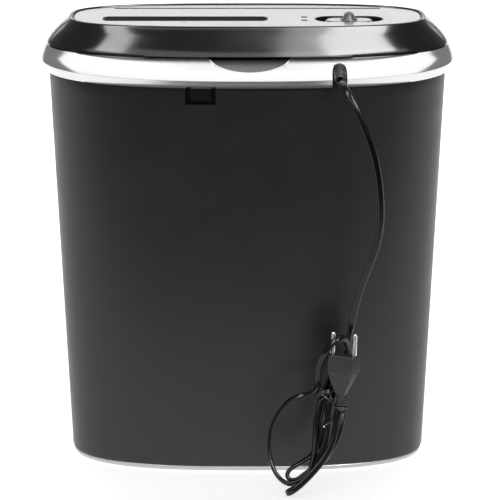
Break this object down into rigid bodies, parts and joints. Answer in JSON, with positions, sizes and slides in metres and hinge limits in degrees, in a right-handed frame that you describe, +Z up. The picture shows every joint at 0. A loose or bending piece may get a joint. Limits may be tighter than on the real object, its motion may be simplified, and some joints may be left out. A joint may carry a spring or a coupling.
{
  "type": "paper shredder",
  "caption": "Upright paper and disc shredder: tapered oval bin under a lift-off cutting head with a silver collar, black sloped cover, control plate and a tied mains lead.",
  "frame": {"origin": "centre of the machine's footprint, on the surface that it stands on", "axes": "+Z up, +X along the paper slot, -Y is the front and the mains lead leaves the back on +Y"},
  "size_m": [0.34, 0.239, 0.3776],
  "materials": {
    "bin_plastic": "fine-grained moulded",
    "ring_silver": "silver painted, satin",
    "cover_black": "black, satin gloss",
    "plate_silver": "silver painted, smooth",
    "grip_grey": "grey, matte",
    "slot_black": "black, matte",
    "slider_silver": "metallised",
    "switch_plastic": "moulded",
    "window_dark": "tinted",
    "lamp_lens": "clear red",
    "board_green": "laminate with lacquer",
    "board_components": "moulded cases",
    "screw_steel": "zinc plated",
    "head_plastic": "moulded",
    "tab_black": "moulded",
    "plate_steel": "rolled and zinc plated",
    "rod_steel": "turned",
    "bush_brass": "sintered, oiled",
    "comb_plastic": "natural nylon",
    "cutter_steel": "hardened, ground",
    "gear_plastic": "natural acetal with grease",
    "clip_steel": "blackened",
    "motor_steel": "drawn can",
    "magnet_dark": "ferrite",
    "winding_copper": "lacquered winding",
    "lever_white": "acetal",
    "cord_rubber": "moulded sleeve",
    "cord_pvc": "glossy flexible sheath",
    "plug_pvc": "moulded, matte"
  },
  "bodies": {
    "bin": {"bin_shell": "bin_plastic"},
    "head": {"trim_ring": "ring_silver", "top_cover": "cover_black", "control_plate": "plate_silver", "grip_inserts": "grip_grey", "disc_guide": "slot_black", "switch_bezel": "slot_black", "switch_body": "switch_plastic", "led_windows": "window_dark", "led_lamps": "lamp_lens", "circuit_board": "board_green", "board_parts": "board_components", "board_screws": "screw_steel", "head_base": "head_plastic", "cover_screws": "screw_steel", "chute_guard": "head_plastic", "locating_tab": "tab_black", "throat_front": "head_plastic", "throat_divider": "head_plastic", "throat_rear": "head_plastic", "side_plate_left": "plate_steel", "side_plate_right": "plate_steel", "tie_rods": "rod_steel", "tie_rod_nuts": "screw_steel", "shaft_bushes": "bush_brass", "stripper_comb_front": "comb_plastic", "stripper_comb_rear": "comb_plastic", "gear_axles": "rod_steel", "axle_clips": "clip_steel", "motor_can": "motor_steel", "motor_magnets": "magnet_dark", "motor_end_bell": "comb_plastic", "motor_screws": "screw_steel", "sensor_pin": "rod_steel", "sensor_switch": "switch_plastic", "interlock_switch": "switch_plastic", "cord_bush": "cord_rubber", "cord_clamp": "head_plastic", "cord_lead": "cord_pvc", "cord_hank": "cord_pvc", "cord_loop": "cord_pvc", "cord_tail": "cord_pvc", "plug": "plug_pvc"},
    "cutter_a": {"cutter_shaft_a": "rod_steel", "cutter_discs_a": "cutter_steel", "sync_gear_a": "gear_plastic", "drive_gear": "gear_plastic"},
    "cutter_b": {"cutter_shaft_b": "rod_steel", "cutter_discs_b": "cutter_steel", "sync_gear_b": "gear_plastic"},
    "reduction_1": {"reduction_gear_1": "gear_plastic"},
    "reduction_2": {"reduction_gear_2": "gear_plastic"},
    "rotor": {"rotor_shaft": "rod_steel", "armature": "winding_copper", "motor_fan": "comb_plastic", "motor_pinion": "bush_brass"},
    "slider": {"switch_slider": "slider_silver", "switch_knob": "slider_silver"},
    "lever": {"sensor_lever": "lever_white"},
    "plunger": {"interlock_plunger": "lever_white"}
  },
  "joints": [
    {"name": "head_lift", "type": "slide", "parent": "bin", "child": "head", "axis": [0, 0, 1], "range_m": [0, 0.08]},
    {"name": "cutter_a_spin", "type": "hinge", "parent": "head", "child": "cutter_a", "pos_m": [0, -0.008, 0.306], "axis": [1, 0, 0], "continuous": true},
    {"name": "cutter_b_spin", "type": "hinge", "parent": "head", "child": "cutter_b", "pos_m": [0, -0.038, 0.306], "axis": [1, 0, 0], "continuous": true},
    {"name": "reduction_1_spin", "type": "hinge", "parent": "head", "child": "reduction_1", "pos_m": [0, 0.031, 0.295], "axis": [1, 0, 0], "continuous": true},
    {"name": "reduction_2_spin", "type": "hinge", "parent": "head", "child": "reduction_2", "pos_m": [0, 0.01963, 0.31949], "axis": [1, 0, 0], "continuous": true},
    {"name": "motor_spin", "type": "hinge", "parent": "head", "child": "rotor", "pos_m": [0, 0.03802, 0.31795], "axis": [1, 0, 0], "continuous": true},
    {"name": "mode_switch_slide", "type": "slide", "parent": "head", "child": "slider", "axis": [1, 0, 0], "range_m": [-0.008, 0.008]},
    {"name": "paper_sensor_tilt", "type": "hinge", "parent": "head", "child": "lever", "pos_m": [-0.0105, -0.0455, 0.36], "axis": [1, 0, 0], "range_deg": [-60, 0], "stiffness_Nm_per_rad": 0.003, "springref_deg": 17.19},
    {"name": "interlock_slide", "type": "slide", "parent": "head", "child": "plunger", "axis": [0, 0, 1], "range_m": [-0.002, 0]}
  ],
  "couplings": [
    {"joint": "cutter_b_spin", "follows": "cutter_a_spin", "ratio": -1},
    {"joint": "reduction_2_spin", "follows": "cutter_a_spin", "ratio": -2.7273},
    {"joint": "reduction_1_spin", "follows": "cutter_a_spin", "ratio": 12},
    {"joint": "motor_spin", "follows": "cutter_a_spin", "ratio": -60},
    {"joint": "interlock_slide", "follows": "head_lift", "ratio": -0.025}
  ]
}
